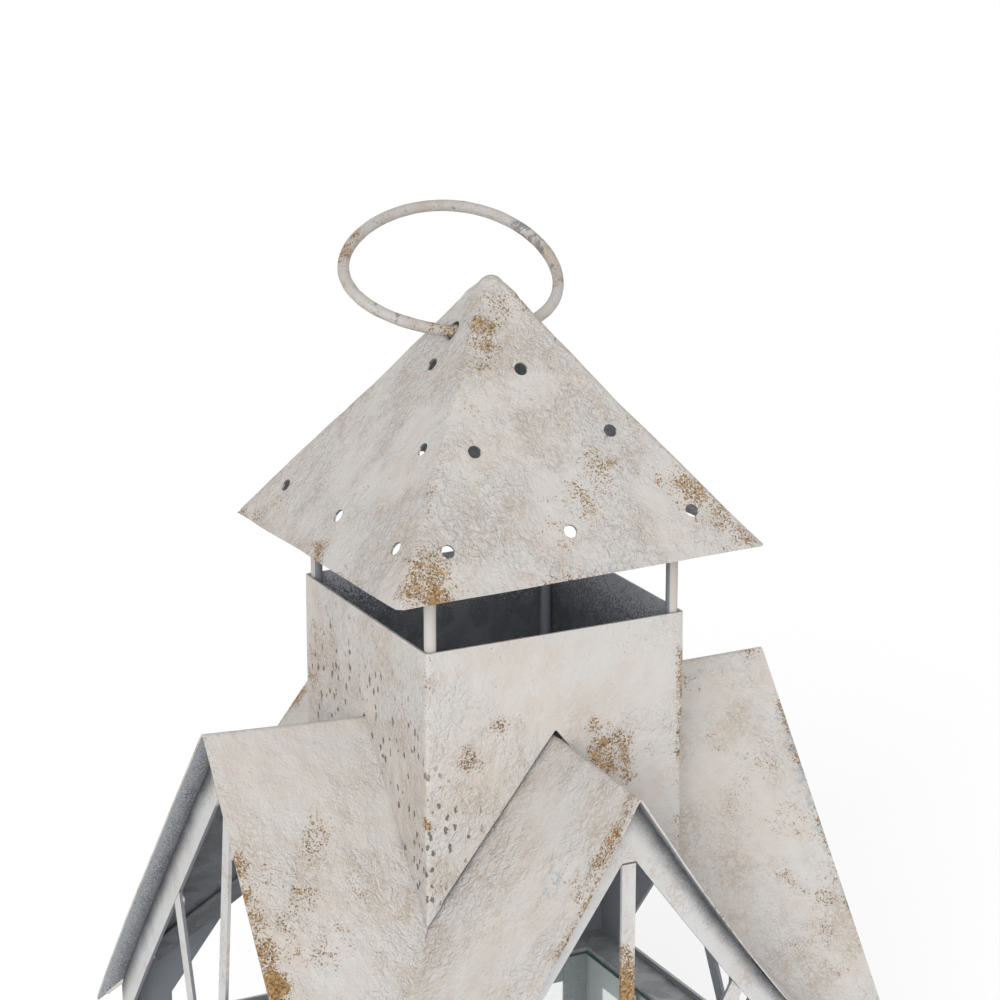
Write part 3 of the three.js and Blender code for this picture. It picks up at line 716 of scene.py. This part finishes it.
for side, quarter in SIDES.items():
    work = copy_of(f"gable_roof_{side}")
    sliced(work, 3.4 * MM, "xy")
    for vert in work.verts:
        firm = min(1.0, ridge_gap(vert.co) / (15 * MM))
        ripple = 0.5 + 0.5 * noise.noise(vert.co * 22) + 0.25 * noise.noise(vert.co * 70)
        vert.co.z += firm * max(0.0, ripple) * 0.6 * MM
    work.normal_update()
    worn(work, GOLD_PATCHES + strays(14, 31 + quarter, 118, 330, 440), "gold")
    worn(work, GREY_PATCHES + strays(8, 41 + quarter, 118, 330, 440), "grey")
    worn_edge(work, "gold", rake_gap, 5 * MM, 0.9, 51 + quarter)
    worn_edge(work, "grey", rake_gap, 4 * MM, 0.8, 61 + quarter)
    worn_edge(work, "gold", ridge_gap, 3 * MM, 0.35, 71 + quarter)
    worn(work, CALM_PATCHES, "calm")
    # A mark that thickens the underside's pale specks towards the rake, fading to 0 12 mm in.
    faded(work, "pale_specks", rake_gap, 12 * MM)
    for face in work.faces:
        face.material_index = int(face.normal.z < -0.1)
    for vert in work.verts:
        vert.co = settled(vert.co, side)
    made(work, f"gable_sheet_{side}", "lantern", "aged_white_paint", [paint, inner_zinc],
         [f"gable_roof_{side}"])


# %% [markdown]
# ## Gable frames
# Behind each roof end stands a frame of flat bars with a king post and two struts. The bars were
# sprayed with the roof on, so the paint thins to bare dark metal close under the sheets. The near black
# there is also painted shade, which stands for the shadow that the overhanging sheets cast. The sliced
# copies carry that as a mark, measured before the bars are bent with their gable.

# %% Make the frames
SHEET_BELOW = 1.3 * MM


def bent_bar(solid, name, side):
    work = copy_of(solid)
    sliced(work, 4 * MM)
    # The shaded mark is painted shade: 1 just under a sheet, fading to 0 about 11 mm lower.
    faded(work, "shaded", lambda co: roof_gap(co) - SHEET_BELOW, 11 * MM)
    worn(work, GOLD_PATCHES, "gold")
    for vert in work.verts:
        vert.co = settled(vert.co, side)
    made(work, name, "lantern", "aged_white_paint", [frame_paint], [solid])


for side in SIDES:
    bent_bar(f"gable_frame_{side}", f"flat_bar_frame_{side}", side)
    bent_bar(f"king_post_{side}", f"king_bar_{side}", side)
    for number in (1, 2):
        bent_bar(f"strut_{side}_{number}", f"strut_bar_{side}_{number}", side)


# %% [markdown]
# ## Valleys
# Where two gables meet, a bent strip below carries both sheets, and a line of solder above seals the
# joint. The strip starts as two faces drawn from a few points and is then given its thickness. It is
# sliced and settled like the gables, so that it stays below them.

# %% Make the valley strips and their solder
SOLDER_STEPS = 59


def valley_point(along, aside, drop):
    """A point under the roof near a valley: along it, beside it and below the sheet."""
    x, y = along + aside, along - aside
    return Vector((x, y, RIDGE - drop - min(x, y) * SLOPE))


def valley_strip(number):
    """The folded strip under one valley."""
    work = bmesh.new()
    start, end, leg = 58 * MM, 110 * MM, 7 * MM
    drop = 2.0 * MM / math.cos(PITCH)
    rows = []
    for aside in (-leg, 0.0, leg):
        rows.append([work.verts.new(valley_point(along, aside, drop)) for along in (start, end)])
    for one, other in zip(rows, rows[1:]):
        work.faces.new([one[0], one[1], other[1], other[0]])
    bmesh.ops.recalc_face_normals(work, faces=work.faces)
    bmesh.ops.solidify(work, geom=work.faces[:], thickness=0.8 * MM)
    bmesh.ops.recalc_face_normals(work, faces=work.faces)
    bmesh.ops.rotate(work, verts=work.verts, matrix=Matrix.Rotation(number * math.pi / 2, 3, "Z"))
    sliced(work, 4 * MM, "xy")
    for vert in work.verts:
        x, y = vert.co.xy
        side = "front" if -y > abs(x) else "left" if -x > abs(y) else "right"
        vert.co = settled(vert.co, side)
    made(work, f"valley_strip_{number + 1}", "lantern", "aged_white_paint", [inner_zinc])


def tube(name, points, radius, wobble=0.0, sides=5):
    """A mesh tube along points, its radius a little uneven where wobble is given."""
    curve = bpy.data.curves.new(name, "CURVE")
    curve.dimensions = "3D"
    curve.bevel_depth = radius
    curve.bevel_resolution = sides
    curve.use_fill_caps = True
    spline = curve.splines.new("POLY")
    spline.points.add(len(points) - 1)
    for i, (point, place) in enumerate(zip(spline.points, points)):
        point.co = (*place, 1)
        point.radius = 1 + wobble * noise.noise(Vector(place) * 160)
    holder = bpy.data.objects.new(name, curve)
    bpy.context.scene.collection.objects.link(holder)
    shown = holder.evaluated_get(bpy.context.evaluated_depsgraph_get())
    mesh = bpy.data.meshes.new_from_object(shown)
    bpy.data.objects.remove(holder)
    work = bmesh.new()
    work.from_mesh(mesh)
    bmesh.ops.remove_doubles(work, verts=work.verts, dist=WELD)
    return work


def valley_solder(number):
    """The line of solder in one valley, uneven as it runs."""
    points = []
    for step in range(SOLDER_STEPS + 1):
        along = (60 + 67.5 * step / SOLDER_STEPS) * MM
        points.append(valley_point(along, 0, 0.75 * MM))
    work = tube("solder", points, 0.9 * MM, wobble=0.5)
    bmesh.ops.rotate(work, verts=work.verts, matrix=Matrix.Rotation(number * math.pi / 2, 3, "Z"))
    made(work, f"valley_solder_{number + 1}", "lantern", "aged_white_paint", [paint], crease=60)


for number in range(4):
    valley_strip(number)
    valley_solder(number)


# %% [markdown]
# ## Rods and carrying ring
# The cap stands on four rods of thick wire, and the ring is the same wire bent into an oval by hand,
# its two ends turned in through the cap's top holes. The rods are plain round bars with eased rims. A
# tube swept along a line is the natural way to make bent wire. The line repeats the ring solid's own,
# with more points so that it bends smoothly.

# %% Make the rods
ROD_RADIUS = 2.45 * MM

for number in range(1, 5):
    low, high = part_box(f"cap_rod_{number}")
    middle = (low + high) / 2
    top = high.z + CAP_TILT * (middle.x - middle.y) - 0.6 * MM
    work = bmesh.new()
    length = top - low.z
    bmesh.ops.create_cone(work, cap_ends=True, segments=28, radius1=ROD_RADIUS,
                          radius2=ROD_RADIUS, depth=length)
    rims = [edge for edge in work.edges if abs(edge.verts[0].co.z - edge.verts[1].co.z) < MM]
    rounded(work, rims, 0.6 * MM, 2)
    bmesh.ops.translate(work, verts=work.verts, vec=(middle.x, middle.y, low.z + length / 2))
    made(work, f"rod_wire_{number}", "lantern", "painted_wire", [rod_paint], [f"cap_rod_{number}"])


# %% Make the ring
RING_LEAN = math.radians(56.6)
HOLE_X = CAP_HALF * 23.2 / 107.8
EGG, DRIFT = 0.12, 0.13


def ring_line(steps=180):
    """The oval's middle line: x along the hinge axis, then leaned back about that axis.

    EGG makes one end of the oval fuller than the other, and DRIFT slants it to one side.
    """
    half_width, half_height = 46.7 * MM, 36 * MM
    turn_in = math.asin(HOLE_X / half_width)
    centre = half_height * math.cos(turn_in)
    flat = [(8 * MM - HOLE_X, 0.0), (3 * MM - HOLE_X, 0.0)]
    for step in range(steps + 1):
        angle = -math.pi / 2 - turn_in - step / steps * 2 * (math.pi - turn_in)
        height = (centre + half_height * math.sin(angle)) * (1 + EGG * math.cos(angle))
        flat.append((half_width * math.cos(angle) - DRIFT * height, height))
    flat += [(HOLE_X - 3 * MM, 0.0), (HOLE_X - 8 * MM, 0.0)]
    back, up = math.sin(RING_LEAN), math.cos(RING_LEAN)
    return [Vector((x, height * back, RING_AXIS + height * up)) for x, height in flat]


work = tube("ring", ring_line(), 2.4 * MM, wobble=0.05, sides=8)
RING_GOLD = [(-18, 0, 625, 5, .7), (-24, 4, 628, 4, .5), (-47, 40, 651, 6, .8), (-40, 48, 657, 6, .5)]
RING_GREY = [(38, 42, 653, 8, .8), (42, 33, 647, 8, .8), (-34, 12, 633, 9, .8), (38, 14, 635, 8, .6),
             (-50, 30, 645, 14, .5), (-20, 55, 661, 14, .45), (10, 54, 661, 12, .45),
             (46, 22, 640, 10, .6), (-44, 20, 638, 10, .6)]
worn(work, RING_GOLD, "gold")
worn(work, RING_GREY, "grey")
made(work, "ring_wire", "ring", "painted_wire", [wire_paint], ["carry_ring"], crease=60)


# %% [markdown]
# ## Small things that hold it together
# Solder lumps hold the bars of the gable frames from behind, tabs hold the panes, and rivets hold the
# hinge leaves. They are small and alike, so one helper makes each kind from an operator's shape and
# joins a group into one piece.

# %% Shapes for lumps and plates
def lumps(places, radius, thin_axis):
    """Several low mounds at places, each squashed along one axis, 0 for x or 1 for y."""
    work = bmesh.new()
    for place in places:
        added = bmesh.ops.create_icosphere(work, subdivisions=3, radius=radius)["verts"]
        for vert in added:
            vert.co *= 1 + 0.22 * noise.noise(vert.co * 700 + Vector(place) * 50)
        squash = Vector([0.45 if i == thin_axis else 1.0 for i in range(3)])
        bmesh.ops.scale(work, verts=added, vec=squash)
        bmesh.ops.translate(work, verts=added, vec=place)
    return work


def plates(places, size):
    """Several small bevelled plates, each in the middle of a place."""
    work = bmesh.new()
    for place in places:
        added = bmesh.ops.create_cube(work, size=1.0)["verts"]
        bmesh.ops.scale(work, verts=added, vec=size)
        bmesh.ops.translate(work, verts=added, vec=place)
    rounded(work, work.edges[:], 0.2 * MM, 2)
    return work


# %% Make the frames' solder
FRAME_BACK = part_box("gable_frame_right")[0].x - 0.1 * MM
KING_LOW, KING_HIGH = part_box("king_post_right")
BAR_HALF = KING_HIGH.y
STRUT_INSET = 4 * MM
for side, quarter in SIDES.items():
    turn = Matrix.Rotation(quarter * math.pi / 2, 3, "Z")
    back_turn = turn.inverted()
    ends = sorted((back_turn @ corner).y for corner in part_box(f"king_post_{side}"))
    joins = [(ends[0] + BAR_HALF, KING_LOW.z), (ends[1] - BAR_HALF, KING_HIGH.z - 2 * MM)]
    for number in (1, 2):
        low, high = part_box(f"strut_{side}_{number}")
        reach = max(abs((back_turn @ low).y), abs((back_turn @ high).y)) - STRUT_INSET
        lean = 1 if (back_turn @ (low + high)).y > 0 else -1
        joins.append((lean * reach, high.z - STRUT_INSET))
    work = lumps([(FRAME_BACK, across, level) for across, level in joins], 2.6 * MM, 0)
    bmesh.ops.rotate(work, verts=work.verts, matrix=turn)
    for vert in work.verts:
        vert.co = settled(vert.co, side)
    made(work, f"frame_solder_{side}", "lantern", "aged_white_paint", [paint], crease=60)

# %% Make the panes' tabs and the hinges' rivets
for side, quarter in SIDES.items():
    if side == "front":
        low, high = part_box("door_glass")
        body, face, inset, spread = "door", -high.y, 4 * MM, 50 * MM
    else:
        low, high = pane_low, pane_high
        body, face, inset, spread = "lantern", pane_low.x, 7 * MM, 58 * MM
    levels = (low.z + inset, high.z - inset)
    places = [(face - 0.45 * MM, across, level) for across in (-spread, spread) for level in levels]
    work = plates(places, (0.7 * MM, 9 * MM, 12 * MM))
    bmesh.ops.rotate(work, verts=work.verts, matrix=Matrix.Rotation(quarter * math.pi / 2, 3, "Z"))
    made(work, f"pane_tabs_{side}", body, "zinc_plate", [plate_zinc])

for level in ("lower", "upper"):
    low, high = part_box(f"hinge_leaf_{level}")
    centre = (low.z + high.z) / 2
    face = low.y + 2.1 * MM
    places = [(high.x - 2.6 * MM, face, centre + lift) for lift in (-9 * MM, 9 * MM)]
    made(lumps(places, 1.5 * MM, 1), f"hinge_rivets_{level}", "lantern", "aged_brass", [brass],
         crease=60)


# %% [markdown]
# ## Candle and wick
# A pillar candle that has burned for an hour has a shallow pool, a soft rim and a black, bent wick.
# The candle is a profile spun round its axis, and its rim is then pushed about a little. The wick is
# a thin tube along a bent line.

# %% Make the candle
def spun(profile, steps):
    """A profile of (radius, height) points turned once round the Z axis, closed at the axis."""
    work = bmesh.new()
    points = [work.verts.new((radius, 0, height)) for radius, height in profile]
    edges = [work.edges.new(pair) for pair in zip(points, points[1:])]
    bmesh.ops.spin(work, geom=points + edges, cent=(0, 0, 0), axis=(0, 0, 1), angle=2 * math.pi,
                   steps=steps, use_merge=True, use_duplicate=False)
    bmesh.ops.remove_doubles(work, verts=work.verts, dist=0.01 * MM)
    bmesh.ops.recalc_face_normals(work, faces=work.faces)
    return work


radius = candle_high.x
tall = candle_high.z - candle_low.z
shape = [(0, 0), (radius - 2 * MM, 0), (radius - 0.4 * MM, 0.6 * MM), (radius, 2 * MM)]
shape += [(radius, 2 * MM + (tall - 6 * MM) * k / 14) for k in range(1, 15)]
shape += [(radius - 0.5 * MM, tall - 1.4 * MM), (radius - 2 * MM, tall),
          (radius - 5 * MM, tall - 0.3 * MM), (radius - 10 * MM, tall - 1.4 * MM),
          (radius - 16 * MM, tall - 3.2 * MM), (radius * 0.3, tall - 4.3 * MM),
          (3 * MM, tall - 4.6 * MM), (0, tall - 4.6 * MM)]
work = spun(shape, 72)
for vert in work.verts:
    top = max(0.0, vert.co.z / tall - 0.9) * 10
    out = max(vert.co.xy.length, MM)
    sway = (noise.noise(Vector((vert.co.x, vert.co.y, 0)) * 30) * 1.2 * top - 0.6 * top) * MM
    side = noise.noise(vert.co * 35) * 0.25 * MM - 0.25 * MM
    vert.co.z += sway
    vert.co.x += vert.co.x / out * side
    vert.co.y += vert.co.y / out * side
bmesh.ops.translate(work, verts=work.verts, vec=(0, 0, candle_low.z))
made(work, "pillar_candle", "lantern", "candle_wax", [wax], ["candle"], crease=50)

# %% Make the wick
wick_low, wick_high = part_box("wick")
WICK_STEPS = 16
bend = []
for step in range(WICK_STEPS + 1):
    share = step / WICK_STEPS
    level = wick_low.z + (wick_high.z - wick_low.z - 0.8 * MM) * share
    bend.append(Vector((1.6 * MM * max(0.0, share - 0.4) ** 2 * 4, 0.4 * MM * share, level)))
made(tube("wick", bend, 1.0 * MM, wobble=0.2), "bent_wick", "lantern", "wick_cotton", [cotton],
     ["wick"], crease=60)


# %% [markdown]
# ## Turned and rolled parts
# Feet, pins, knob, hinge leaves and dish are right as they are, but their round faces show flats. A
# welded copy with smooth shading takes the flats away, and a live bevel catches the light on the rims.

# %% Smooth the turned parts
def smoothed(solid, name, body, slot, finish, width=0.3):
    """A welded copy of a solid with soft rims, their width in millimetres."""
    piece = made(copy_of(solid), name, body, slot, [finish], [solid], crease=36)
    rim = piece.modifiers.new("rim", "BEVEL")
    rim.width = width * MM
    rim.segments = 2
    rim.limit_method = "ANGLE"
    rim.angle_limit = math.radians(40)


for number in range(1, 5):
    smoothed(f"foot_{number}", f"turned_foot_{number}", "lantern", "zinc_plate", plate_zinc, 0.5)
for level in ("lower", "upper"):
    smoothed(f"hinge_leaf_{level}", f"rolled_leaf_{level}", "lantern", "aged_brass", brass, 0.2)
    smoothed(f"hinge_pin_{level}", f"headed_pin_{level}", "lantern", "aged_brass", brass, 0.2)
smoothed("latch_knob", "turned_knob", "latch", "aged_brass", brass, 0.3)
smoothed("latch_tongue", "flat_tongue", "latch", "aged_brass", brass, 0.2)
smoothed("candle_dish", "raised_dish", "lantern", "zinc_plate", plate_zinc, 0.3)

# %% [markdown]
# ## Finishes for the solids that stay
# Flat rails, posts, plates and panes are right as they are and only need their finish.

# %% Dress the remaining solids
FINISH_OF_SLOT = {"aged_white_paint": body_paint, "painted_wire": wire_paint, "zinc_plate": plate_zinc,
                  "aged_brass": brass, "clear_glass": glass, "candle_wax": wax, "wick_cotton": cotton}
for part in frame["record"]["subparts"]:
    solid, slot = part["node"], part["material_slot"]
    solids[solid].data.materials.clear()
    solids[solid].data.materials.append(FINISH_OF_SLOT[slot])

# %% [markdown]
# ## Floor
# A wide pale floor carries the lantern and fills the background. It is part of the stage and not of
# the lantern, and it reaches so far that its border stays out of sight.

# %% Lay the floor
work = bmesh.new()
bmesh.ops.create_grid(work, x_segments=8, y_segments=8, size=40)
floor_mesh = bpy.data.meshes.new("floor")
work.to_mesh(floor_mesh)
work.free()
floor = bpy.data.objects.new("floor", floor_mesh)
bpy.context.scene.collection.objects.link(floor)
ground = Finish("pale_floor")
floor_mesh.materials.append(ground.wear(Base_Color=rgb(0.95, 0.95, 0.95), Roughness=0.8))
